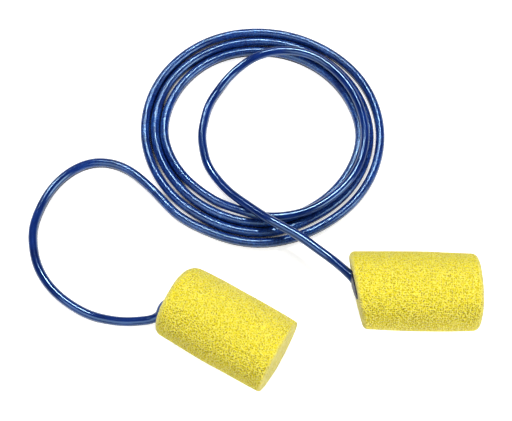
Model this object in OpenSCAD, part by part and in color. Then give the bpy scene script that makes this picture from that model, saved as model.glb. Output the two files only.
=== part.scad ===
// A pair of foam ear plugs on one vinyl cord, the cord coiled flat and laid down.
// Origin: centre of the footprint of the two plugs, on the surface that they lie on. +Z is up.

/* [Plugs] */
// Diameter of each foam plug
plug_d = 13; // [12:0.5:14]
// Length of each foam plug along its axis
plug_len = 20.5; // [18:0.5:24]
// Diameter of the hole that the cord is glued in
bore_d = 2.4; // [2.2:0.1:2.8]
// Depth of that hole from the plug's face
bore_depth = 8; // [7:0.5:10]
// Diameter of the dimple round the hole, at the plug's face
dimple_d = 5.2; // [5:0.1:6]
// Depth of the dimple
dimple_depth = 1.5; // [1.4:0.1:2]
// Slant of the right plug's cord end, where the foam was cut out of square
right_slant = 11; // [8:1:13]
// Lean of that end, whose upper edge overhangs the lower one
right_lean = 5; // [3:1:6]
// Distance from the right plug's axis to the middle of its dimple, on the side where the cord leaves
right_dimple_shift = 0.8; // [0.6:0.1:1]

/* [Cord] */
// Diameter of the cord
cord_d = 1.6; // [1.4:0.1:1.7]
// Length of cord that is glued in each plug, measured from the face
glued_len = 7; // [5:0.5:7]
// Free space on each side of the bend that a plug swings on
bend_gap = 0.3; // [0.3:0.05:0.4]

/* [Coil] */
// Distance from one turn of the coil to the next
turn_pitch = 1.9; // [1.8:0.05:2]
// Width of the shoulder that rounds the coil's upper edges
shoulder = 0.4; // [0.2:0.1:0.6]

/* [Hidden] */

foam = "#e6d853";
vinyl = "#3b4d87";
glue = "#1c2a53";

plug_r = plug_d / 2;
cord_r = cord_d / 2;
tube_sides = 8;
round_sides = 96;
past = 1;

// Where each plug's face meets its axis, in plan, and the heading of the axis into the foam
left_face = [-24.1, 3.9];
left_heading = -30;
right_face = [6.8, 5.2];
right_heading = -1;

// The cord's way out of each plug, from the mouth of the glued part to the bend that the plug swings on:
// distance along the plug's axis into the foam, distance to its left, height over its axis
left_neck = [
    [dimple_depth, 0, 0], [0.8, -0.1, -0.3], [0.1, -0.4, -0.9],
    [-0.6, -0.8, -1.7], [-1.1, -1.3, -2.5], [-1.3, -2, -3.3],
];
right_neck = [
    [dimple_depth, 0, 0], [0.9, 0.25, 0.05], [0.4, 0.8, 0.1],
    [-0.1, 1.5, 0.1], [-0.7, 2.3, 0.1], [-1.4, 3.1, -0.1],
];

// The left lead, from the plug to the coil: x, y and height of the centre over its height at rest
left_route = [
    [-26.8, 2, 1.3], [-27.8, 1.5, 0.8], [-29.6, 1.2, 0.6], [-32.4, 1.1, 0.4], [-35.7, 1.5, 0.2], [-38.8, 2.4, 0],
    [-41.7, 3.9, 0], [-44.4, 5.9, 0], [-46.7, 8.4, 0], [-48.4, 11.4, 0], [-49.3, 14.7, 0],
    [-49.5, 18.2, 0], [-48.7, 21.5, 0], [-47.3, 24.6, 0], [-45.3, 27.3, 0], [-42.7, 29.4, 0],
    [-39.6, 30.6, 0], [-36.2, 30.5, 0], [-33, 29.2, 0], [-30.3, 27.1, 0],
];

// The coil: its centre, the heading at which its outer turn starts, the radius at which the lead comes in
// there, and the outer turn's radius at equal steps of heading. The turns inside it have the same shape,
// one pitch further in each
coil_centre = [-8.9, 36.2];
coil_start = 210;
coil_mouth = 22.3;
outer_turn = [22, 21, 20.7, 20.4, 21, 21.4, 21.2, 20.6, 20.7, 21.4, 21.8, 21.4];
coil_turns = 3;
heading_step = 360 / len(outer_turn);
substeps = 3;

// The strand that climbs on the coil, crosses to its inside and leaves over it as the right lead:
// heading round the coil's centre, radius and height of the centre over its height at rest
climbing_turn = [
    [225, 15.6, 0], [240, 15.3, 0.1], [255, 15.4, 0.8], [270, 16.3, 1.65], [285, 16.8, 1.65],
    [300, 17.3, 1.65], [315, 17.7, 1.65], [330, 18.2, 1.65], [345, 18.5, 1.65], [360, 18.5, 1.65],
    [375, 18.3, 1.65], [390, 18.1, 1.65], [405, 17.9, 1.65], [420, 17.6, 1.65], [435, 16.7, 1.65],
    [450, 15.4, 1.6], [465, 14, 1], [480, 12.8, 0.3], [495, 11.9, 0], [510, 11.4, 0],
    [525, 11, 0], [540, 11, 0], [555, 11.1, 0], [570, 11.5, 0], [585, 11.9, 0.2],
    [600, 12.7, 0.7], [612, 13.8, 1.7], [622, 15.2, 2.7], [630, 16.8, 3.4], [638, 18.7, 3.8],
];
// The right lead from there to the plug: x, y and height of the centre over its height at rest
right_route = [[-2.5, 15.3, 4.1], [0.6, 12.9, 4.3], [3.6, 10.4, 4.7]];

// Direction and unit vectors along a path
function unit(v) = v / norm(v);
function plan(heading) = [cos(heading), sin(heading), 0];
function heading_at(path, i) = unit(path[min(i + 1, len(path) - 1)] - path[max(i - 1, 0)]);

// A point of a plug's own frame, given as in the necks above, in the part's frame
function from_plug(face, heading, p) =
    [face.x, face.y, plug_r] + p.x * plan(heading) + p.y * plan(heading + 90) + [0, 0, p.z];

// A point at rest height plus its lift
function raised(p) = [p.x, p.y, p.z + cord_r];
function round_coil(p) = raised([coil_centre.x, coil_centre.y, p.z] + p.y * plan(p.x));

// The point at a distance short of the end of a path
function cut_end(path) =
    let (last = path[len(path) - 1], before = path[len(path) - 2])
    [for (i = [0 : len(path) - 2]) path[i], last - bend_gap * unit(last - before)];

// Radius of the coil's centre line after so many steps of heading, smooth through the outer turn's radii
function step_radius(i) =
    i <= 0 ? coil_mouth : outer_turn[i % len(outer_turn)] - turn_pitch * floor(i / len(outer_turn));
function smooth(a, b, c, d, t) =
    b + t * (c - a) / 2 + t * t * (a - 2.5 * b + 2 * c - d / 2) + t * t * t * (1.5 * (b - c) + (d - a) / 2);
function coil_radius(s) =
    let (i = floor(s))
    smooth(step_radius(i - 1), step_radius(i), step_radius(i + 1), step_radius(i + 2), s - i);

// Outline of one turn, moved out by a distance, as a closed shape with a radial step at coil_start
function turn_outline(turn, out) =
    let (n = len(outer_turn))
    [for (k = [0 : n * substeps])
        let (s = turn * n + k / substeps, h = coil_start + heading_step * s)
        (coil_radius(s) + out) * [cos(h), sin(h)]];

// A round cord along a path, as one polyhedron. The end rings face the given directions
module cord(path, first_dir, last_dir) {
    n = len(path);
    dirs = [for (i = [0 : n - 1]) i == 0 ? first_dir : i == n - 1 ? last_dir : heading_at(path, i)];
    points = [
        for (i = [0 : n - 1])
            let (side = unit(cross(dirs[i], [0, 0, 1])), up = cross(side, dirs[i]))
            for (k = [0 : tube_sides - 1])
                let (a = (k + 0.5) * 360 / tube_sides)
                path[i] + cord_r * (cos(a) * side + sin(a) * up)
    ];
    walls = [
        for (i = [0 : n - 2])
            for (k = [0 : tube_sides - 1])
                let (next = (k + 1) % tube_sides, b = i * tube_sides)
                [b + k, b + next, b + next + tube_sides, b + k + tube_sides]
    ];
    first_cap = [for (k = [tube_sides - 1 : -1 : 0]) k];
    last_cap = [for (k = [0 : tube_sides - 1]) (n - 1) * tube_sides + k];
    polyhedron(points, concat([first_cap], walls, [last_cap]));
}

// The same cord with its end rings square to its ends
module free_cord(path) {
    cord(path, heading_at(path, 0), heading_at(path, len(path) - 1));
}

module in_plug(face, heading) {
    translate([face.x, face.y, plug_r])
        rotate([0, 0, heading])
            children();
}

module along_axis(from, r1, r2, length) {
    translate([from, 0, 0])
        rotate([0, 90, 0])
            cylinder(r1 = r1, r2 = r2, h = length, $fn = round_sides);
}

// A foam cylinder with a dimple and a blind hole in its cord end, which may slant to the side and lean
module foam_plug(slant, lean, dimple_shift) {
    reach = plug_r * norm([tan(slant), tan(lean) / cos(slant)]);
    flare = (dimple_d - bore_d) / 2 / dimple_depth;
    color(foam)
        difference() {
            along_axis(-reach, plug_r, plug_r, plug_len + reach);
            rotate([0, -lean, slant])
                translate([-plug_d, -plug_d, -plug_d])
                    cube([plug_d, 2 * plug_d, 2 * plug_d]);
            translate([0, dimple_shift, 0])
                along_axis(-past, dimple_d / 2 + past * flare, bore_d / 2, dimple_depth + past);
            along_axis(0, bore_d / 2, bore_d / 2, bore_depth);
        }
}

// The cured glue between the cord and the wall and floor of the hole
module bond() {
    color(glue)
        difference() {
            along_axis(dimple_depth, bore_d / 2, bore_d / 2, bore_depth - dimple_depth);
            along_axis(dimple_depth - past, cord_r, cord_r, glued_len - dimple_depth + past);
        }
}

// The cord's end: the part glued in the plug and its neck, as far as the bend that the plug swings on
module cord_end(face, heading, neck) {
    inner_end = from_plug(face, heading, [glued_len, 0, 0]);
    path = cut_end(concat([inner_end], [for (p = neck) from_plug(face, heading, p)]));
    color(vinyl) free_cord(path);
}

module foam_plug_left() {
    in_plug(left_face, left_heading) foam_plug(0, 0, 0);
}

module foam_plug_right() {
    in_plug(right_face, right_heading) foam_plug(right_slant, right_lean, right_dimple_shift);
}

module bond_left() {
    in_plug(left_face, left_heading) bond();
}

module bond_right() {
    in_plug(right_face, right_heading) bond();
}

module cord_end_left() {
    cord_end(left_face, left_heading, left_neck);
}

module cord_end_right() {
    cord_end(right_face, right_heading, right_neck);
}

// From the left plug's bend round to the step in the coil's outer edge
module cord_lead_left() {
    bend = from_plug(left_face, left_heading, left_neck[len(left_neck) - 1]);
    coil_end = round_coil([coil_start, step_radius(0), 0]);
    far_first = concat([coil_end], [for (i = [len(left_route) - 1 : -1 : 0]) raised(left_route[i])], [bend]);
    path = cut_end(far_first);
    color(vinyl) cord(path, plan(coil_start - 90), heading_at(path, len(path) - 1));
}

// The outer shape of the three turns that lie flat side by side
module cord_coil() {
    color(vinyl)
        translate([coil_centre.x, coil_centre.y, 0]) {
            coil_layer(0, 0, cord_d - shoulder);
            coil_layer(shoulder, cord_d - shoulder, shoulder);
        }
}

module coil_layer(inset, base, height) {
    translate([0, 0, base])
        linear_extrude(height)
            difference() {
                polygon(turn_outline(0, cord_r - inset));
                polygon(turn_outline(coil_turns - 1, inset - cord_r));
            }
}

// From the step in the coil's inner edge, over the coil and back over it, to the right plug's bend
module cord_lead_right() {
    coil_end = round_coil([coil_start, step_radius(coil_turns * len(outer_turn)), 0]);
    bend = from_plug(right_face, right_heading, right_neck[len(right_neck) - 1]);
    route = concat([for (p = climbing_turn) round_coil(p)], [for (p = right_route) raised(p)]);
    path = cut_end(concat([coil_end], route, [bend]));
    color(vinyl) cord(path, plan(coil_start + 90), heading_at(path, len(path) - 1));
}

foam_plug_left();
foam_plug_right();
bond_left();
bond_right();
cord_end_left();
cord_end_right();
cord_lead_left();
cord_coil();
cord_lead_right();
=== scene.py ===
"""Foam ear plugs on a coiled vinyl cord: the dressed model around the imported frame."""
import logging
import math
from collections.abc import Sequence
from dataclasses import dataclass, field
from enum import Enum
from itertools import product

import bpy
import numpy as np
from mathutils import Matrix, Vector, noise


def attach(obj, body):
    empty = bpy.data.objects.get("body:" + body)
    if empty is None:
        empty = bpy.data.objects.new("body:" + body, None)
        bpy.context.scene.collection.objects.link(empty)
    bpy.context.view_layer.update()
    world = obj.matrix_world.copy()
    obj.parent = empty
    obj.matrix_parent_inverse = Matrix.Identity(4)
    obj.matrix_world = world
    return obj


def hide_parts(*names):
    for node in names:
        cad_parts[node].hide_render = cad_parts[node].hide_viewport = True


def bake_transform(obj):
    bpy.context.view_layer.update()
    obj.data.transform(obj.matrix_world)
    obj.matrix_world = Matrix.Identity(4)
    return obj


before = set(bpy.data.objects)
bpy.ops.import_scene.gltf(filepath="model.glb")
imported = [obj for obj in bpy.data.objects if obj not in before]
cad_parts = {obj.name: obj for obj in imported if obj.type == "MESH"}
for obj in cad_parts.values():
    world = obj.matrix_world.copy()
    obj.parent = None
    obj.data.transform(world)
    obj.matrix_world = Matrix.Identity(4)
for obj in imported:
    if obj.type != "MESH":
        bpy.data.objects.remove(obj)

LOG = logging.getLogger("ear_plugs")
NOISE_RANGE = (0.3, 0.7)


class Body(str, Enum):
    """The bodies of the frame that pieces ride on."""

    CORD = "cord"
    LEFT = "plug_left"
    RIGHT = "plug_right"


class Slot(str, Enum):
    """The material slots of the record."""

    FOAM = "foam"
    VINYL = "vinyl_cord"
    GLUE = "glue"


# ---------------------------------------------------------------------------------------------
# Small tools for meshes and node trees


def plan(heading: float) -> np.ndarray:
    """Returns the level unit vector at a heading, in degrees."""
    return np.array([math.cos(math.radians(heading)), math.sin(math.radians(heading)), 0.0])


def unit_rows(rows: np.ndarray) -> np.ndarray:
    """Returns the rows scaled to unit length."""
    return rows / np.linalg.norm(rows, axis=-1, keepdims=True)


def smoothstep(value: np.ndarray, low: float, high: float) -> np.ndarray:
    """Returns a smooth ramp from 0 at low to 1 at high."""
    t = np.clip((np.asarray(value, float) - low) / (high - low), 0.0, 1.0)
    return t * t * (3.0 - 2.0 * t)


def new_mesh(name: str, points: np.ndarray, faces: list[tuple[int, ...]]) -> bpy.types.Object:
    """Makes a smooth-shaded mesh object.

    Args:
        name: Name of the piece.
        points: Vertices in metres, in the frame's own axes.
        faces: Vertex numbers of each face.

    Returns:
        The new object, linked to the scene.
    """
    mesh = bpy.data.meshes.new(name)
    mesh.from_pydata(points.tolist(), [], faces)
    mesh.validate()
    mesh.polygons.foreach_set("use_smooth", [True] * len(mesh.polygons))
    mesh.update()
    piece = bpy.data.objects.new(name, mesh)
    bpy.context.collection.objects.link(piece)
    return piece


def ring_faces(rows: int, around: int) -> list[tuple[int, ...]]:
    """Lists the four-sided faces between rings of vertices, each ring numbered after the last.

    Args:
        rows: Number of rings.
        around: Number of vertices in each ring.

    Returns:
        The vertex numbers of each face.
    """
    faces = []
    for first in range(0, (rows - 1) * around, around):
        for k in range(around):
            here, there = first + k, first + (k + 1) % around
            faces.append((here, there, there + around, here + around))
    return faces


def tube_faces(rows: int, around: int) -> list[tuple[int, ...]]:
    """Lists a closed tube's faces: those between its rings, and then its first and last ends.

    Args:
        rows: Number of rings.
        around: Number of vertices in each ring.

    Returns:
        The vertex numbers of each face.
    """
    first_end = tuple(reversed(range(around)))
    last_end = tuple(range((rows - 1) * around, rows * around))
    return [*ring_faces(rows, around), first_end, last_end]


def crease_ends(piece: bpy.types.Object) -> None:
    """Makes the rims of a tube's two end faces shade as sharp edges.

    Args:
        piece: A tube whose mesh has its two end faces last.
    """
    rims = {tuple(sorted(edge)) for end in piece.data.polygons[-2:] for edge in end.edge_keys}
    sharp = piece.data.attributes.new("sharp_edge", "BOOLEAN", "EDGE")
    sharp.data.foreach_set("value", [tuple(sorted(edge.vertices)) in rims for edge in piece.data.edges])


def store_values(piece: bpy.types.Object, name: str, values: np.ndarray) -> None:
    """Stores one number per vertex under a name that a material reads."""
    attribute = piece.data.attributes.new(name, "FLOAT", "POINT")
    attribute.data.foreach_set("value", np.asarray(values, np.float32))


def spline(points: np.ndarray, spacing: float) -> np.ndarray:
    """Runs a natural cubic spline through points and samples it at even steps.

    Args:
        points: The points that it passes through, one a row.
        spacing: Distance between samples along the curve.

    Returns:
        The samples, one a row.
    """
    at = np.r_[0.0, np.cumsum(np.linalg.norm(np.diff(points, axis=0), axis=1))]
    n = len(at)
    gap = np.diff(at)
    system = np.eye(n)
    right = np.zeros((n, points.shape[1]))
    slope = np.diff(points, axis=0) / gap[:, None]
    for i in range(1, n - 1):
        system[i, i - 1] = gap[i - 1]
        system[i, i] = 2 * (gap[i - 1] + gap[i])
        system[i, i + 1] = gap[i]
        right[i] = 6 * (slope[i] - slope[i - 1])
    bend = np.linalg.solve(system, right)
    fine = np.linspace(0.0, at[-1], int(at[-1] / spacing * 8) + 2)
    i = np.clip(np.searchsorted(at, fine) - 1, 0, n - 2)
    a = ((at[i + 1] - fine) / gap[i])[:, None]
    b = 1.0 - a
    h2 = (gap[i] ** 2 / 6)[:, None]
    curve = a * points[i] + b * points[i + 1] + ((a**3 - a) * bend[i] + (b**3 - b) * bend[i + 1]) * h2
    run = np.r_[0.0, np.cumsum(np.linalg.norm(np.diff(curve, axis=0), axis=1))]
    even = np.linspace(0.0, run[-1], int(round(run[-1] / spacing)) + 1)
    return np.stack([np.interp(even, run, curve[:, k]) for k in range(points.shape[1])], axis=1)


class Nodes:
    """Builds a material's node tree with short calls."""

    def __init__(self, name: str) -> None:
        """Starts an empty material with a Principled shader wired to its output.

        Args:
            name: Name of the material.
        """
        self.material = bpy.data.materials.new(name)
        self.material.use_nodes = True
        self.tree = self.material.node_tree
        self.tree.nodes.clear()
        self.output = self.tree.nodes.new("ShaderNodeOutputMaterial")
        self.shader = self.tree.nodes.new("ShaderNodeBsdfPrincipled")
        self.join(self.shader.outputs["BSDF"], self.output.inputs["Surface"])

    def add(self, kind: str, **settings: object) -> bpy.types.Node:
        """Adds a node and sets its properties, or its inputs where the name is an input's.

        Args:
            kind: Blender's name for the type of node.
            settings: The values to set.

        Returns:
            The node.
        """
        node = self.tree.nodes.new(kind)
        for key, value in settings.items():
            label = key.replace("_", " ").title()
            if hasattr(node, key):
                setattr(node, key, value)
            else:
                node.inputs[label].default_value = value
        return node

    def join(self, source: bpy.types.NodeSocket, target: bpy.types.NodeSocket) -> None:
        """Links an output to an input."""
        self.tree.links.new(source, target)

    def place(self) -> bpy.types.NodeSocket:
        """Returns the object coordinates, which are the frame's own, in metres."""
        return self.add("ShaderNodeTexCoord").outputs["Object"]

    def value(self, name: str) -> bpy.types.NodeSocket:
        """Returns the stored per-vertex number of that name."""
        return self.add("ShaderNodeAttribute", attribute_name=name).outputs["Fac"]

    def noise(self, scale: float, detail: float = 3.0, roughness: float = 0.5) -> bpy.types.NodeSocket:
        """Adds fractal noise.

        Args:
            scale: Number of its largest lumps in a metre.
            detail: Number of finer layers over those.
            roughness: Strength of each layer against the one before.

        Returns:
            The noise, about 0.5 on average.
        """
        node = self.add("ShaderNodeTexNoise", scale=scale, detail=detail, roughness=roughness)
        self.join(self.place(), node.inputs["Vector"])
        return node.outputs["Fac"]

    def span(
        self, source: bpy.types.NodeSocket, low: float, high: float, to_low: float, to_high: float
    ) -> bpy.types.NodeSocket:
        """Maps a source from one range to another and holds it at the ends.

        Args:
            source: What is mapped.
            low: Start of its range.
            high: End of its range.
            to_low: Start of the new range.
            to_high: End of the new range.

        Returns:
            The mapped source.
        """
        node = self.add("ShaderNodeMapRange", clamp=True)
        ends = {"From Min": low, "From Max": high, "To Min": to_low, "To Max": to_high}
        for label, number in ends.items():
            node.inputs[label].default_value = number
        self.join(source, node.inputs["Value"])
        return node.outputs["Result"]

    def spread(self, source: bpy.types.NodeSocket, low: float, high: float) -> bpy.types.NodeSocket:
        """Returns noise mapped from the range that it mostly keeps to, and held at the ends."""
        return self.span(source, *NOISE_RANGE, low, high)

    def sum_of(self, *sources: bpy.types.NodeSocket) -> bpy.types.NodeSocket:
        """Adds sources up.

        Args:
            sources: What is added.

        Returns:
            The sum.
        """
        total = sources[0]
        for source in sources[1:]:
            node = self.add("ShaderNodeMath", operation="ADD")
            self.join(total, node.inputs[0])
            self.join(source, node.inputs[1])
            total = node.outputs[0]
        return total

    def times(self, first: bpy.types.NodeSocket, second: bpy.types.NodeSocket) -> bpy.types.NodeSocket:
        """Multiplies two sources.

        Args:
            first: One source.
            second: The other.

        Returns:
            The product.
        """
        node = self.add("ShaderNodeMath", operation="MULTIPLY")
        self.join(first, node.inputs[0])
        self.join(second, node.inputs[1])
        return node.outputs[0]

    def ramp(
        self, source: bpy.types.NodeSocket, stops: tuple[tuple[float, tuple[float, ...]], ...]
    ) -> bpy.types.NodeSocket:
        """Picks a colour from a ramp.

        Args:
            source: The place on the ramp.
            stops: The position and the colour of each stop, in order.

        Returns:
            The colour.
        """
        node = self.add("ShaderNodeValToRGB")
        ramp = node.color_ramp
        while len(ramp.elements) < len(stops):
            ramp.elements.new(0.5)
        for element, (position, colour) in zip(ramp.elements, stops):
            element.position = position
            element.color = (*colour, 1.0)
        self.join(source, node.inputs["Fac"])
        return node.outputs["Color"]

    def bump(self, height: bpy.types.NodeSocket, distance: float, strength: float = 1.0) -> None:
        """Adds a bump over any bump set before.

        Args:
            height: The height, where 1 is the full distance.
            distance: That distance in metres.
            strength: Share of the bump that shows.
        """
        node = self.add("ShaderNodeBump", distance=distance, strength=strength)
        self.join(height, node.inputs["Height"])
        old = self.shader.inputs["Normal"]
        if old.links:
            self.join(old.links[0].from_socket, node.inputs["Normal"])
        self.join(node.outputs["Normal"], old)

    def set(self, **sockets: float | tuple[float, ...]) -> None:
        """Sets constants on the shader's own sockets."""
        for key, value in sockets.items():
            self.shader.inputs[key.replace("_", " ")].default_value = value


# ---------------------------------------------------------------------------------------------
# Finishes


@dataclass(frozen=True)
class FoamFinish:
    """Open-celled soft PVC foam, matt and finely pitted, with painted shade in its pits and painted light
    on the ridges between them.
    """

    pit_shade_colour: tuple[float, float, float] = (0.54, 0.39, 0.005)
    skin_colour: tuple[float, float, float] = (0.86, 0.725, 0.022)
    ridge_light_colour: tuple[float, float, float] = (0.90, 0.80, 0.11)
    cut_colour: tuple[float, float, float] = (0.78, 0.69, 0.19)
    mottle_scale: float = 600.0
    mottle_height: float = 0.03
    grain_scale: float = 3800.0
    grain_height: tuple[float, float] = (-0.32, 0.26)
    grain_bump: float = 0.0005
    patch_scale: float = 400.0
    roughness: tuple[float, float] = (0.8, 0.95)

    def material(self) -> bpy.types.Material:
        """Makes the foam's material, which reads how high and how cut the surface is.

        Returns:
            The material.
        """
        n = Nodes("pitted_foam")
        lumps = n.noise(self.mottle_scale, 4.0, 0.6)
        mottled = n.spread(lumps, -self.mottle_height, self.mottle_height)
        fine = n.noise(self.grain_scale, 1.0)
        height = n.sum_of(n.value("foam_height"), mottled, n.spread(fine, *self.grain_height))
        # Low places take the pits' painted shade colour, and high places the ridges' painted light colour.
        skin = n.ramp(height, ((0.10, self.pit_shade_colour), (0.75, self.skin_colour), (1.0, self.ridge_light_colour)))
        mix = n.add("ShaderNodeMix", data_type="RGBA")
        n.join(n.value("foam_cut"), mix.inputs["Factor"])
        n.join(skin, mix.inputs[6])
        mix.inputs[7].default_value = (*self.cut_colour, 1.0)
        n.join(mix.outputs[2], n.shader.inputs["Base Color"])
        n.join(n.spread(n.noise(self.patch_scale), *self.roughness), n.shader.inputs["Roughness"])
        n.set(Subsurface_Weight=0.1, Subsurface_Scale=0.0002, Subsurface_Radius=(1.0, 0.75, 0.15))
        n.set(Specular_IOR_Level=0.1, Sheen_Weight=0.4, Sheen_Roughness=0.4)
        n.bump(fine, self.grain_bump)
        return n.material


@dataclass(frozen=True)
class VinylFinish:
    """Soft blue vinyl cord, glossy where it was handled and grainy where it lies in the coil."""

    deep_colour: tuple[float, float, float] = (0.002, 0.009, 0.075)
    plain_colour: tuple[float, float, float] = (0.006, 0.028, 0.185)
    bloom_colour: tuple[float, float, float] = (0.035, 0.140, 0.430)
    shine_colour: tuple[float, float, float] = (0.45, 0.74, 1.0)
    patch_scale: float = 350.0
    patch_tone: tuple[float, float] = (0.15, 0.45)
    speck_scale: float = 4800.0
    speck_range: tuple[float, float] = (0.35, 0.70)
    speck_tone: tuple[float, float] = (-0.25, 0.45)
    speck_bump: float = 0.00004
    roughness: tuple[float, float] = (0.08, 0.10)
    scuff_scale: float = 2200.0
    scuff_roughness: float = 0.05
    wave_scale: float = 700.0
    wave_bump: float = 0.00001

    def material(self) -> bpy.types.Material:
        """Makes the cord's material, which reads how grainy the skin is.

        Returns:
            The material.
        """
        n = Nodes("blue_vinyl")
        grain = n.value("cord_grain")
        speck = n.noise(self.speck_scale, 2.0, 0.6)
        patches = n.spread(n.noise(self.patch_scale, 4.0, 0.55), *self.patch_tone)
        tone = n.sum_of(patches, n.times(grain, n.span(speck, *self.speck_range, *self.speck_tone)))
        shades = ((0.15, self.deep_colour), (0.5, self.plain_colour), (0.9, self.bloom_colour))
        n.join(n.ramp(tone, shades), n.shader.inputs["Base Color"])
        scuffs = n.span(n.noise(self.scuff_scale), *self.speck_range, 0.0, self.scuff_roughness)
        n.join(n.sum_of(n.span(grain, 0.0, 1.0, *self.roughness), scuffs), n.shader.inputs["Roughness"])
        n.set(Specular_IOR_Level=0.9, Specular_Tint=(*self.shine_colour, 1.0))
        n.bump(n.times(grain, speck), self.speck_bump)
        n.bump(n.noise(self.wave_scale, 2.0), self.wave_bump, 0.4)
        return n.material


@dataclass(frozen=True)
class GlueFinish:
    """Cured adhesive, dark and glossy, with a skin of small runs."""

    colour: tuple[float, float, float] = (0.006, 0.012, 0.050)
    dark_colour: tuple[float, float, float] = (0.003, 0.006, 0.025)
    patch_scale: float = 1500.0
    skin_scale: float = 2500.0
    roughness: tuple[float, float] = (0.25, 0.45)
    run_scale: float = 2200.0
    run_bump: float = 0.00008

    def material(self) -> bpy.types.Material:
        """Makes the glue's material.

        Returns:
            The material.
        """
        n = Nodes("cured_glue")
        shades = tuple(zip(NOISE_RANGE, (self.dark_colour, self.colour)))
        n.join(n.ramp(n.noise(self.patch_scale), shades), n.shader.inputs["Base Color"])
        n.join(n.spread(n.noise(self.skin_scale), *self.roughness), n.shader.inputs["Roughness"])
        n.set(Specular_IOR_Level=0.3)
        n.bump(n.noise(self.run_scale), self.run_bump, 0.8)
        return n.material


# ---------------------------------------------------------------------------------------------
# Stage


@dataclass(frozen=True)
class SoftLamp:
    """One soft lamp: the direction that it shines from, its power and the width and depth of its face."""

    name: str
    heading: float
    elevation: float
    power: float
    width: float
    depth: float


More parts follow.
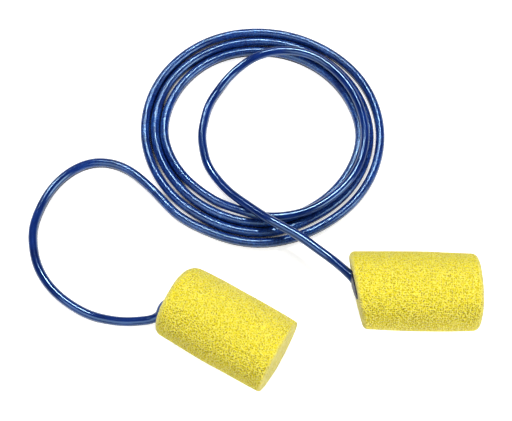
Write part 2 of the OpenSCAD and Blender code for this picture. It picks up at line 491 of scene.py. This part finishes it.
@dataclass
class Studio:
    """The floor, the lamps, the surroundings and the camera."""

    target: tuple[float, float, float] = (-0.0101, 0.0218, 0.0)
    distance: float = 0.218
    elevation: float = 70.5
    lens: float = 85.8
    floor_size: float = 3.0
    floor_colour: tuple[float, float, float] = (0.86, 0.86, 0.86)
    floor_glow: float = 0.6
    # The floor is painted dark, as painted shade, where the cord closes it in within this reach, and white
    # where it is open.
    gap_reach: float = 0.0007
    gap_shut: float = 0.44
    gap_open: float = 0.50
    gap_step: float = 0.01
    lamp_distance: float = 0.7
    lamps: tuple[SoftLamp, ...] = (
        SoftLamp("key_lamp", 88.0, 60.0, 3.5, 0.20, 0.05),
        SoftLamp("back_lamp", 131.0, 47.0, 1.2, 0.025, 0.26),
        SoftLamp("side_lamp", -30.0, 28.0, 3.3, 0.35, 0.35),
        SoftLamp("front_lamp", -120.0, 42.0, 3.0, 0.6, 0.6),
    )
    sky_low: float = 0.37
    sky_high: float = 0.62
    gap_shade_colour: tuple[float, float, float] = (0.010, 0.014, 0.035)

    def build(self) -> None:
        """Makes the camera first, then the floor, the lamps and the surroundings."""
        self.camera()
        self.floor()
        for lamp in self.lamps:
            self.hang(lamp)
        self.sky()

    def toward(self, heading: float, elevation: float, distance: float) -> Vector:
        """Finds a point round the target.

        Args:
            heading: Its heading, in degrees.
            elevation: Its elevation, in degrees.
            distance: Its distance from the target.

        Returns:
            The point.
        """
        flat = plan(heading) * math.cos(math.radians(elevation))
        direction = Vector((flat[0], flat[1], math.sin(math.radians(elevation))))
        return Vector(self.target) + distance * direction

    def aim(self, piece: bpy.types.Object) -> None:
        """Turns a lamp or a camera to face the target."""
        piece.rotation_euler = (Vector(self.target) - piece.location).to_track_quat("-Z", "Y").to_euler()

    def camera(self) -> None:
        """Makes the camera, looking along +Y and down."""
        data = bpy.data.cameras.new("camera")
        data.lens = self.lens
        data.clip_start = 0.01
        camera = bpy.data.objects.new("camera", data)
        camera.location = self.toward(-90.0, self.elevation, self.distance)
        self.aim(camera)
        bpy.context.collection.objects.link(camera)
        bpy.context.scene.camera = camera

    def hang(self, soft: SoftLamp) -> None:
        """Makes one soft lamp that faces the target.

        Args:
            soft: What the lamp is like.
        """
        data = bpy.data.lights.new(soft.name, "AREA")
        data.shape = "RECTANGLE"
        data.energy = soft.power
        data.size = soft.width
        data.size_y = soft.depth
        lamp = bpy.data.objects.new(soft.name, data)
        lamp.location = self.toward(soft.heading, soft.elevation, self.lamp_distance)
        self.aim(lamp)
        bpy.context.collection.objects.link(lamp)

    def floor(self) -> None:
        """Makes the white table, which shows white and keeps the object's shadow."""
        half = self.floor_size / 2
        corners = np.array([[-half, -half, 0.0], [half, -half, 0.0], [half, half, 0.0], [-half, half, 0.0]])
        table = new_mesh("white_table", corners, [(0, 1, 2, 3)])
        n = Nodes("white_table")
        n.set(Roughness=0.8, Specular_IOR_Level=0.1)
        glow = n.add("ShaderNodeEmission")
        rays = n.add("ShaderNodeLightPath").outputs
        seen = n.sum_of(rays["Is Camera Ray"], rays["Is Glossy Ray"], rays["Is Transmission Ray"])
        open_floor = n.add("ShaderNodeAmbientOcclusion", samples=32)
        open_floor.inputs["Distance"].default_value = self.gap_reach
        openness = open_floor.outputs["AO"]
        shut, wide = self.gap_shut + self.gap_step, self.gap_open + self.gap_step
        clear = n.span(openness, shut, wide, 0.0, self.floor_glow)
        # Painted shade: the floor's colour turns dark and its white glow goes out where the cord closes it
        # in.
        shades = ((self.gap_shut, self.gap_shade_colour), (self.gap_open, self.floor_colour))
        n.join(n.ramp(openness, shades), n.shader.inputs["Base Color"])
        n.join(n.times(seen, clear), glow.inputs["Strength"])
        both = n.add("ShaderNodeAddShader")
        n.join(n.shader.outputs["BSDF"], both.inputs[0])
        n.join(glow.outputs["Emission"], both.inputs[1])
        n.join(both.outputs["Shader"], n.output.inputs["Surface"])
        table.data.materials.append(n.material)

    def sky(self) -> None:
        """Sets surroundings that are white above and dimmer low down, and white to the camera."""
        world = bpy.data.worlds.new("studio")
        bpy.context.scene.world = world
        world.use_nodes = True
        tree = world.node_tree
        background = tree.nodes["Background"]
        place = tree.nodes.new("ShaderNodeTexCoord")
        parts = tree.nodes.new("ShaderNodeSeparateXYZ")
        level = tree.nodes.new("ShaderNodeMapRange")
        rays = tree.nodes.new("ShaderNodeLightPath").outputs
        mirrored = tree.nodes.new("ShaderNodeMath")
        seen = tree.nodes.new("ShaderNodeMath")
        mix = tree.nodes.new("ShaderNodeMix")
        level.inputs["To Min"].default_value = self.sky_low
        level.inputs["To Max"].default_value = self.sky_high
        tree.links.new(place.outputs["Generated"], parts.inputs["Vector"])
        tree.links.new(parts.outputs["Z"], level.inputs["Value"])
        tree.links.new(rays["Is Glossy Ray"], mirrored.inputs[0])
        tree.links.new(rays["Is Transmission Ray"], mirrored.inputs[1])
        tree.links.new(rays["Is Camera Ray"], seen.inputs[0])
        tree.links.new(mirrored.outputs[0], seen.inputs[1])
        tree.links.new(seen.outputs[0], mix.inputs["Factor"])
        tree.links.new(level.outputs["Result"], mix.inputs[2])
        mix.inputs[3].default_value = 1.0
        tree.links.new(mix.outputs[0], background.inputs["Strength"])


# ---------------------------------------------------------------------------------------------
# Cord


@dataclass
class PlugSeat:
    """Where a plug lies: its face's middle, its axis's heading into the foam and its height."""

    face: tuple[float, float]
    heading: float
    radius: float = 0.0065

    def at(self, along: float, left: float, up: float) -> np.ndarray:
        """Returns the frame's point for a place in the plug's own axes."""
        base = np.array([self.face[0], self.face[1], self.radius + up])
        return base + along * plan(self.heading) + left * plan(self.heading + 90.0)


LEFT_SEAT = PlugSeat((-0.0241, 0.0039), -30.0)
RIGHT_SEAT = PlugSeat((0.0068, 0.0052), -1.0)


@dataclass
class Cord:
    """The vinyl cord, from the glue in one plug, round the coil, to the glue in the other."""

    diameter: float = 0.0016
    glued_length: float = 0.007
    spacing: float = 0.0004
    sides: int = 24
    coil_centre: tuple[float, float] = (-0.0089, 0.0362)
    coil_start: float = 210.0
    coil_mouth: float = 0.0223
    turn_pitch: float = 0.0019
    outer_turn: tuple[float, ...] = (
        0.0220, 0.0210, 0.0207, 0.0204, 0.0210, 0.0214, 0.0212, 0.0206, 0.0207, 0.0214, 0.0218, 0.0214,
    )
    coil_turns: int = 3
    wander: tuple[tuple[float, ...], ...] = (
        (0.0,) * 12,
        (1e-4, 0.0, 0.0, -2e-4, -1.5e-4, -1e-4, -2.5e-4, 0.0, 0.0, -1e-4, 1e-4, 0.5e-4),
        (0.0, 0.5e-4, 0.5e-4, 0.0, -2e-4, 0.5e-4, -2e-4, 0.0, -0.5e-4, -0.5e-4, 0.0, 2.5e-4),
    )
    left_neck: tuple[tuple[float, ...], ...] = (
        (0.0015, 0.0, 0.0), (0.0008, -0.0001, -0.0003), (0.0001, -0.0004, -0.0009),
        (-0.0006, -0.0008, -0.0017), (-0.0011, -0.0013, -0.0025), (-0.0013, -0.0020, -0.0033),
    )
    right_neck: tuple[tuple[float, ...], ...] = (
        (0.0015, 0.0, 0.0), (0.0009, 0.00025, 0.00005), (0.0004, 0.0008, 0.0001),
        (-0.0001, 0.0015, 0.0001), (-0.0007, 0.0023, 0.0001), (-0.0014, 0.0031, -0.0001),
    )
    left_route: tuple[tuple[float, ...], ...] = (
        (-0.0268, 0.0020, 0.0013), (-0.0278, 0.0015, 0.0008), (-0.0296, 0.0012, 0.0006),
        (-0.0324, 0.0011, 0.0004), (-0.0357, 0.0015, 0.0002), (-0.0388, 0.0024, 0.0),
        (-0.0417, 0.0039, 0.0), (-0.0444, 0.0059, 0.0), (-0.0467, 0.0084, 0.0),
        (-0.0484, 0.0114, 0.0), (-0.0493, 0.0147, 0.0), (-0.0495, 0.0182, 0.0),
        (-0.0487, 0.0215, 0.0), (-0.0473, 0.0246, 0.0), (-0.0453, 0.0273, 0.0),
        (-0.0427, 0.0294, 0.0), (-0.0396, 0.0306, 0.0), (-0.0362, 0.0305, 0.0),
        (-0.0330, 0.0292, 0.0), (-0.0303, 0.0271, 0.0),
    )
    climbing_turn: tuple[tuple[float, ...], ...] = (
        (225, 0.0156, 0.0), (240, 0.0153, 0.0001), (255, 0.0154, 0.0008), (270, 0.0163, 0.00165),
        (285, 0.0168, 0.00165), (300, 0.0173, 0.00165), (315, 0.0177, 0.00165), (330, 0.0182, 0.00165),
        (345, 0.0185, 0.00165), (360, 0.0185, 0.00165), (375, 0.0183, 0.00165), (390, 0.0181, 0.00165),
        (405, 0.0179, 0.00165), (420, 0.0176, 0.00165), (435, 0.0167, 0.00165), (450, 0.0154, 0.0016),
        (465, 0.0140, 0.0010), (480, 0.0128, 0.0003), (495, 0.0119, 0.0), (510, 0.0114, 0.0),
        (525, 0.0110, 0.0), (540, 0.0110, 0.0), (555, 0.0111, 0.0), (570, 0.0115, 0.0),
        (585, 0.0119, 0.0002), (600, 0.0127, 0.0007), (612, 0.0138, 0.0017), (622, 0.0152, 0.0027),
        (630, 0.0168, 0.0034), (638, 0.0187, 0.0038),
    )
    right_route: tuple[tuple[float, ...], ...] = (
        (-0.0025, 0.0153, 0.0041), (0.0006, 0.0129, 0.0043), (0.0036, 0.0104, 0.0047),
    )
    # The leads' graininess, and the lengths over which it rises into the coil and falls after it.
    lead_grain: float = 0.18
    grain_in: float = 0.025
    grain_out: float = 0.02
    # The length past each bend that goes into each neck instead of the middle.
    neck_reach: float = 0.003
    line: np.ndarray = field(init=False)
    run: np.ndarray = field(init=False)

    def __post_init__(self) -> None:
        """Runs one smooth line through the whole route."""
        self.line = spline(self.route(), self.spacing)
        self.line[:, 2] = np.maximum(self.line[:, 2], self.diameter / 2)
        steps = np.linalg.norm(np.diff(self.line, axis=0), axis=1)
        self.run = np.r_[0.0, np.cumsum(steps)]

    def step_radius(self, step: int) -> float:
        """Works out the coil's radius at a whole step of heading from its start.

        Args:
            step: Number of the step.

        Returns:
            The radius.
        """
        if step <= 0:
            return self.coil_mouth
        turn, place = divmod(step, len(self.outer_turn))
        loose = self.wander[turn][place] if turn < len(self.wander) else 0.0
        return self.outer_turn[place] - self.turn_pitch * turn + loose

    def coil_radius(self, at: float) -> float:
        """Works out the coil's radius, smooth between the whole steps.

        Args:
            at: Number of steps of heading from the coil's start.

        Returns:
            The radius.
        """
        i = math.floor(at)
        a, b, c, d = (self.step_radius(k) for k in (i - 1, i, i + 1, i + 2))
        t = at - i
        square = a - 2.5 * b + 2 * c - d / 2
        cube = 1.5 * (b - c) + (d - a) / 2
        return b + t * (c - a) / 2 + t**2 * square + t**3 * cube

    def on_coil(self, heading: float, radius: float, lift: float) -> np.ndarray:
        """Returns the point at that heading and radius round the coil's centre."""
        base = np.array([self.coil_centre[0], self.coil_centre[1], self.diameter / 2 + lift])
        return base + radius * plan(heading)

    def raised(self, point: tuple[float, ...]) -> np.ndarray:
        """Returns the point of a route at its height over the table."""
        return np.array([point[0], point[1], point[2] + self.diameter / 2])

    def route(self) -> np.ndarray:
        """Lists every point that the cord passes through, from the left plug to the right one.

        Returns:
            The points, one a row.
        """
        step = 360.0 / len(self.outer_turn)
        flat = self.coil_turns * len(self.outer_turn)
        halves = np.arange(0.0, flat + 0.1, 0.5)
        points = [LEFT_SEAT.at(along, 0.0, 0.0) for along in (self.glued_length, self.glued_length / 2)]
        points += [LEFT_SEAT.at(*p) for p in self.left_neck]
        points += [self.raised(p) for p in self.left_route]
        points += [self.on_coil(self.coil_start + step * s, self.coil_radius(s), 0.0) for s in halves]
        points += [self.on_coil(*p) for p in self.climbing_turn]
        points += [self.raised(p) for p in self.right_route]
        points += [RIGHT_SEAT.at(*p) for p in reversed(self.right_neck)]
        points += [RIGHT_SEAT.at(along, 0.0, 0.0) for along in (self.glued_length / 2, self.glued_length)]
        return np.array(points)

    def nearest(self, point: np.ndarray) -> int:
        """Returns the number of the line's sample nearest a point."""
        return int(np.argmin(np.linalg.norm(self.line - point, axis=1)))

    def grain(self) -> np.ndarray:
        """Works out how grainy the skin is: most in the flat turns, least in the leads.

        Returns:
            The graininess at each sample of the line, 1 at most.
        """
        coil_in = self.run[self.nearest(self.on_coil(self.coil_start, self.step_radius(0), 0.0))]
        flat = self.coil_turns * len(self.outer_turn)
        coil_out = self.run[self.nearest(self.on_coil(self.coil_start, self.step_radius(flat), 0.0))]
        rises = smoothstep(self.run, coil_in - self.grain_in, coil_in)
        falls = smoothstep(self.run, coil_out, coil_out + self.grain_out)
        return self.lead_grain + (1.0 - self.lead_grain) * rises * (1.0 - falls)

    def tube(self, name: str, first: int, last: int, finish: bpy.types.Material) -> bpy.types.Object:
        """Makes the round tube along one stretch of the line.

        Args:
            name: Name of the piece.
            first: Number of the stretch's first sample.
            last: Number of its last sample.
            finish: The cord's material.

        Returns:
            The tube, closed at both ends.
        """
        heading = unit_rows(np.gradient(self.line, axis=0))
        side = unit_rows(np.cross(heading, (0.0, 0.0, 1.0)))
        up = np.cross(side, heading)
        angle = np.linspace(0.0, 2 * math.pi, self.sides, endpoint=False)
        rows = slice(first, last + 1)
        cosine, sine = np.cos(angle)[None, :, None], np.sin(angle)[None, :, None]
        ring = cosine * side[rows, None] - sine * up[rows, None]
        points = (self.line[rows, None] + self.diameter / 2 * ring).reshape(-1, 3)
        piece = new_mesh(name, points, tube_faces(last - first + 1, self.sides))
        crease_ends(piece)
        store_values(piece, "cord_grain", np.repeat(self.grain()[rows], self.sides))
        piece.data.materials.append(finish)
        return piece

    def build(self, finish: bpy.types.Material) -> list[bpy.types.Object]:
        """Makes the cord as a middle, which rides on the cord's body, and two necks by the plugs.

        Args:
            finish: The cord's material.

        Returns:
            The three pieces.
        """
        reach = int(round(self.neck_reach / self.spacing))
        left_bend = self.nearest(LEFT_SEAT.at(*self.left_neck[-1]))
        right_bend = self.nearest(RIGHT_SEAT.at(*self.right_neck[-1]))
        left_end = left_bend + reach
        right_end = right_bend - reach
        last = len(self.line) - 1
        middle = self.tube("cord_middle", left_end, right_end, finish)
        left = self.tube("cord_neck_left", 0, left_end, finish)
        right = self.tube("cord_neck_right", right_end, last, finish)
        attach(middle, Body.CORD.value)
        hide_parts("cord_lead_left", "cord_coil", "cord_lead_right")
        for neck, body, inner, outer in (
            (left, Body.LEFT, left_bend - reach // 2, left_end - 1),
            (right, Body.RIGHT, right_bend + reach // 2, right_end + 1),
        ):
            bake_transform(neck)
        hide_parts("cord_end_left")
        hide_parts("cord_end_right")
        LOG.info("cord: %.1f mm from end to end", 1000 * self.run[-1])
        return [middle, left, right]


# ---------------------------------------------------------------------------------------------
# Plugs


@dataclass
class EdgeRounding:
    """Radii of a plug's rounded edge at four places round it: left, top, right and bottom."""

    left: float
    top: float
    right: float
    bottom: float

    def at(self, angle: np.ndarray) -> np.ndarray:
        """Works out the edge's radius, smooth between the four places.

        Args:
            angle: Angles round the axis, counted from the left side towards the top.

        Returns:
            The radius at each angle.
        """
        ring = np.array([self.left, self.top, self.right, self.bottom, self.left])
        quarter = np.mod(angle, 2 * math.pi) / (math.pi / 2)
        i = np.floor(quarter).astype(int) % 4
        t = smoothstep(quarter - np.floor(quarter), 0.0, 1.0)
        return ring[i] * (1 - t) + ring[i + 1] * t


@dataclass
class Dimple:
    """The hollow in a plug's cord face and the hole for the cord that it opens into."""

    radius: float = 0.0026
    depth: float = 0.0015
    shift: float = 0.0
    softness: float = 0.1
    hole_radius: float = 0.0012
    hole_depth: float = 0.008

    def depth_at(self, side: np.ndarray, up: np.ndarray) -> np.ndarray:
        """Works out how far the hollow goes in.

        Args:
            side: How far each point of the face lies to the axis's left.
            up: How far it lies over the axis.

        Returns:
            The depth at each point.
        """
        away = np.hypot(side - self.shift, up)
        soft = self.softness * (self.radius - self.hole_radius)
        return self.depth * (1.0 - smoothstep(away, self.hole_radius - soft, self.radius + soft))


@dataclass
class PitField:
    """Evenly spread round pits, one to each square of a jittered grid on the unrolled surface."""

    spacing: float
    seed: float
    inner: float = 0.10
    outer: float = 0.46
    jitter: float = 0.7
    least: float = 0.35

    def chance(self, column: np.ndarray, row: np.ndarray, salt: float) -> np.ndarray:
        """Returns an even random number from 0 to 1 for each square of the grid."""
        mixed = np.sin(column * 127.1 + row * 311.7 + (self.seed + salt) * 74.7) * 43758.5453
        return mixed - np.floor(mixed)

    def height(self, across: np.ndarray, along: np.ndarray) -> np.ndarray:
        """Works out the surface's height, from 0 in the deepest pits to 1 between pits.

        Args:
            across: Place of each point round the unrolled surface.
            along: Its place along that surface.

        Returns:
            The height at each point.
        """
        x, y = across / self.spacing, along / self.spacing
        column, row = np.floor(x), np.floor(y)
        nearest = np.full(x.shape, 9.0)
        depth = np.zeros(x.shape)
        for step_x, step_y in product((-1, 0, 1), repeat=2):
            c, r = column + step_x, row + step_y
            pit_x = c + 0.5 + self.jitter * (self.chance(c, r, 0.0) - 0.5)
            pit_y = r + 0.5 + self.jitter * (self.chance(c, r, 1.0) - 0.5)
            away = np.hypot(x - pit_x, y - pit_y)
            closer = away < nearest
            nearest = np.where(closer, away, nearest)
            depth = np.where(closer, self.least + (1.0 - self.least) * self.chance(c, r, 2.0), depth)
        return 1.0 - depth * (1.0 - smoothstep(nearest, self.inner, self.outer))


@dataclass
class Ring:
    """One ring of a plug's surface, with its share of the skin's pits and of a cut face's look."""

    along: np.ndarray
    out: np.ndarray
    pitted: float
    cut: float


@dataclass
class FoamPlug:
    """One foam plug: a cylinder cut from a foam rod, with a dimple and a hole for the cord."""

    name: str
    node: str
    body: Body
    seat: PlugSeat
    cord_edge: EdgeRounding
    free_edge: EdgeRounding
    dimple: Dimple
    seed: int
    # Degrees that the cord face is cut out of square, sideways and upwards, and the free end.
    slant: float = 0.0
    lean: float = 0.0
    free_slant: float = 0.0
    length: float = 0.0205
    bulge: float = 0.0002
    # Points in each ring, and rings along the barrel, in each face and round each edge.
    around: int = 500
    along: int = 236
    face_rings: int = 30
    edge_rings: int = 12
    end_rings: int = 44
    # The pits' depth in the faces and the edges, as a share of the barrel's.
    face_pits: float = 0.5
    edge_pits: float = 0.8
    end_pits: float = 0.4
    end_origin: float = 0.1
    pit_spacing: float = 0.00036
    pit_depth: float = 0.00019
    # The height that lies on the plug's true surface, and the larger, shallower dents.
    skin_height: float = 0.75
    coarse_spacing: float = 3.1
    coarse_share: float = 0.45
    # How much deeper the pits are on the barrel's right side, which faces the front, so that side also
    # takes more of the pits' painted shade.
    front_pit_shade_share: float = 0.8
    swell: float = 0.00008
    swell_scale: float = 260.0
    ripple: float = 0.00002
    ripple_scale: float = 1100.0
    cut_look: float = 0.75

    def cut_at(self, side: np.ndarray, up: np.ndarray) -> np.ndarray:
        """Returns how far along the axis the cord face's plane lies at points of it."""
        slant = math.radians(self.slant)
        return -math.tan(slant) * side - math.tan(math.radians(self.lean)) / math.cos(slant) * up

    def rings(self, side: np.ndarray, up: np.ndarray) -> list[Ring]:
        """Returns the rings from the hole's floor to the free end's middle.

        Args:
            side: Share of each angle's direction that points to the axis's left.
            up: Share of it that points up.

        Returns:
            The rings, each with a place and a distance from the axis for every angle.
        """
        angle = np.arctan2(up, side)
        radius, hole = self.seat.radius, self.dimple.hole_radius
        near, far = self.cord_edge.at(angle), self.free_edge.at(angle)
        free = self.length - math.tan(math.radians(self.free_slant)) * radius * side

        def face(out: np.ndarray) -> np.ndarray:
            """Returns how far along the axis the cord face lies at a distance from it.

            Args:
                out: Distance from the axis for every angle.

            Returns:
                The place along the axis for every angle.
            """
            return self.cut_at(out * side, out * up) + self.dimple.depth_at(out * side, out * up)

        turns = np.linspace(0.08, 1.0, self.edge_rings) * math.pi / 2
        floor, mouth = self.dimple.hole_depth, face(hole)
        rings = [
            Ring(floor + (mouth - floor) * t, np.full_like(angle, hole), 0.0, 1.0)
            for t in (0.0, 0.4, 0.8, 0.95)
        ]
        for t in np.linspace(0.0, 1.0, self.face_rings):
            out = hole + (radius - near - hole) * t
            rings.append(Ring(face(out), out, self.face_pits, 1.0))
        for turn in turns:
            out = radius - near + near * math.sin(turn)
            along = face(out) + near * (1 - math.cos(turn))
            rings.append(Ring(along, out, self.edge_pits, math.cos(turn)))
        start = face(np.full_like(angle, radius)) + near
        for t in np.linspace(0.0, 1.0, self.along)[1:]:
            out = radius + self.bulge * (1.0 - (2.0 * t - 1.0) ** 2)
            rings.append(Ring(start + (free - far - start) * t, np.full_like(angle, out), 1.0, 0.0))
        for turn in turns:
            along, out = free - far + far * math.sin(turn), radius - far + far * math.cos(turn)
            rings.append(Ring(along, out, self.edge_pits, math.sin(turn)))
        for t in np.linspace(0.0, 1.0, self.end_rings)[1:-1]:
            out = (radius - far) * (1 - t)
            along = self.length + (free - self.length) * out / radius
            rings.append(Ring(along, out, self.end_pits, 1.0))
        return rings

    def pitted(self, rings: list[Ring], angle: np.ndarray) -> np.ndarray:
        """Works out the foam's height, about 0 in a deep pit and 1 between pits.

        Args:
            rings: The plug's rings.
            angle: The angles round the axis of each ring's points.

        Returns:
            The height at every point, ring after ring.
        """
        fine = PitField(spacing=self.pit_spacing, seed=self.seed)
        wide = self.coarse_spacing * self.pit_spacing
        coarse = PitField(spacing=wide, seed=self.seed + 7.0, inner=0.03, outer=0.16)
        # Deeper pits on the right side, which faces the front, give that side more painted shade.
        front_pit_shade = 1.0 + self.front_pit_shade_share * smoothstep(-np.cos(angle), 0.1, 1.0)
        rows = []
        for ring in rings:
            if ring.cut < 1.0:
                across, along = self.seat.radius * np.mod(angle + math.pi / 2, 2 * math.pi), ring.along
            else:
                across, along = self.end_origin + ring.out * np.cos(angle), ring.out * np.sin(angle)
            dents = 1.0 - self.coarse_share * (1.0 - coarse.height(across, along))
            both = np.minimum(fine.height(across, along), dents)
            rows.append(1.0 - (1.0 - both) * ring.pitted * front_pit_shade)
        return np.concatenate(rows)

    def build(self, finish: bpy.types.Material) -> bpy.types.Object:
        """Makes the plug's mesh, seats it and dresses it.

        Args:
            finish: The foam's material.

        Returns:
            The plug.
        """
        n = self.around
        angle = np.linspace(0.0, 2 * math.pi, n, endpoint=False)
        side, up = np.cos(angle), np.sin(angle)
        rings = self.rings(side, up)
        rows = len(rings)
        grid = np.array([np.stack([ring.along, ring.out * side, ring.out * up], axis=1) for ring in rings])
        outward = np.cross(np.roll(grid, -1, axis=1) - np.roll(grid, 1, axis=1), np.gradient(grid, axis=0))
        size = np.maximum(np.linalg.norm(outward, axis=2, keepdims=True), 1e-12)
        outward = (outward / size).reshape(-1, 3)
        cuts = np.repeat([ring.cut for ring in rings], n)
        flat = grid.reshape(-1, 3)
        height = self.pitted(rings, angle)
        start, other = Vector((self.seed, 0, 0)), Vector((0, self.seed, 0))
        waves = np.array([noise.noise(Vector(p) * self.swell_scale + start) for p in flat])
        fine = np.array([noise.noise(Vector(p) * self.ripple_scale + other) for p in flat])
        push = (height - self.skin_height) * self.pit_depth + self.swell * waves + self.ripple * fine
        middles = [[self.length, 0, 0], [self.dimple.hole_depth, 0, 0]]
        shaped = np.vstack([flat + push[:, None] * outward, middles])
        placed = np.array([self.seat.at(*p) for p in shaped])
        placed[:, 2] = np.maximum(placed[:, 2], 0.0)
        faces = ring_faces(rows, n)
        faces += [((rows - 1) * n + k, (rows - 1) * n + (k + 1) % n, rows * n) for k in range(n)]
        faces += [(rows * n + 1, (k + 1) % n, k) for k in range(n)]
        piece = new_mesh(self.name, placed, faces)
        store_values(piece, "foam_height", np.r_[height, 1.0, 0.5])
        store_values(piece, "foam_cut", self.cut_look * np.r_[cuts, 1.0, 1.0])
        piece.data.materials.append(finish)
        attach(piece, self.body.value)
        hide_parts(self.node)
        LOG.info("%s: %d vertices", self.name, len(placed))
        return piece


@dataclass
class Bond:
    """The cured glue that fills the hole round the cord and pools in the dimple."""

    name: str
    node: str
    body: Body
    plug: FoamPlug
    pool_level: float = 0.0004
    pool_radius: float = 0.0023
    dome: float = 0.0001
    foot: float = 0.0075
    # Shares of the hole's radius that the glue fills, from the foot up.
    foot_fill: float = 0.4
    hole_fill: float = 0.96
    neck_fill: float = 0.98
    neck_depth: float = 0.0006
    edge_wave: float = 0.10
    wave_scale: float = 2.2
    lump_height: float = 0.0002
    lump_scale: float = 900.0
    sides: int = 48
    seed: int = 5

    def rings(self) -> list[tuple[float, float, float]]:
        """Lists the glue's rings from the pool to the hole's floor.

        Returns:
            The depth under the face, the radius and the shift of the middle of each ring.
        """
        dimple = self.plug.dimple
        hole = dimple.hole_radius
        rings = [(self.foot, self.foot_fill * hole, 0.0), (self.foot, self.hole_fill * hole, 0.0)]
        rings.append((dimple.depth + self.neck_depth, self.neck_fill * hole, 0.0))
        for t in np.linspace(0.0, 1.0, 7):
            depth = dimple.depth + (self.pool_level - dimple.depth) * t
            rings.append((depth, hole + (self.pool_radius - hole) * t, dimple.shift * t))
        for t in np.linspace(0.0, 0.96, 9)[1:]:
            depth = self.pool_level - self.dome * math.sin(0.5 * math.pi * t)
            rings.append((depth, self.pool_radius * (1 - t), dimple.shift))
        return rings[::-1]

    def build(self, finish: bpy.types.Material) -> bpy.types.Object:
        """Makes the glue in the plug's own axes, with a wavy edge where it meets the foam.

        Args:
            finish: The glue's material.

        Returns:
            The glue.
        """
        n = self.sides
        angle = np.linspace(0.0, 2 * math.pi, n, endpoint=False)
        points = []
        for depth, radius, shift in self.rings():
            pooled = float(smoothstep(self.plug.dimple.depth - depth, -0.0003, 0.0006))
            lumps = self.lump_scale * radius
            for a in angle:
                x, y = math.cos(a), math.sin(a)
                wave = noise.noise(Vector((self.wave_scale * x, self.wave_scale * y, self.seed)))
                lift = self.lump_height * noise.noise(Vector((lumps * x, lumps * y, self.seed)))
                out = radius * (1.0 + self.edge_wave * pooled * wave)
                side, up = shift + out * x, out * y
                plane = float(self.plug.cut_at(side, up))
                points.append(self.plug.seat.at(depth + pooled * (plane + lift), side, up))
        piece = new_mesh(self.name, np.array(points), tube_faces(len(points) // n, n))
        piece.data.materials.append(finish)
        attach(piece, self.body.value)
        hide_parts(self.node)
        return piece


def main() -> None:
    """Builds the stage, the cord, the plugs and the glue in order."""
    logging.basicConfig(level=logging.INFO)
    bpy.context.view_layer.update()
    bpy.context.scene.view_settings.view_transform = "Standard"
    Studio().build()
    cord = Cord()
    pieces = cord.build(VinylFinish().material())
    foam = FoamFinish().material()
    left = FoamPlug(
        "foam_left", "foam_plug_left", Body.LEFT, LEFT_SEAT,
        cord_edge=EdgeRounding(0.0023, 0.0007, 0.0013, 0.0008),
        free_edge=EdgeRounding(0.0004, 0.0004, 0.0004, 0.0004),
        dimple=Dimple(), seed=3,
    )
    right = FoamPlug(
        "foam_right", "foam_plug_right", Body.RIGHT, RIGHT_SEAT,
        cord_edge=EdgeRounding(0.0012, 0.0005, 0.0007, 0.0006),
        free_edge=EdgeRounding(0.0008, 0.0008, 0.0010, 0.0008),
        dimple=Dimple(shift=0.0008), slant=11.0, lean=5.0, free_slant=2.0, seed=8,
    )
    pieces += [plug.build(foam) for plug in (left, right)]
    glue = GlueFinish().material()
    pieces.append(Bond("glue_left", "bond_left", Body.LEFT, left).build(glue))
    right_bond = Bond("glue_right", "bond_right", Body.RIGHT, right, pool_level=-0.0002, dome=0.0004)
    pieces.append(right_bond.build(glue))
    for piece in pieces:
        LOG.info("piece %s: %d faces", piece.name, len(piece.data.polygons))


if __name__ == "__main__":
    main()
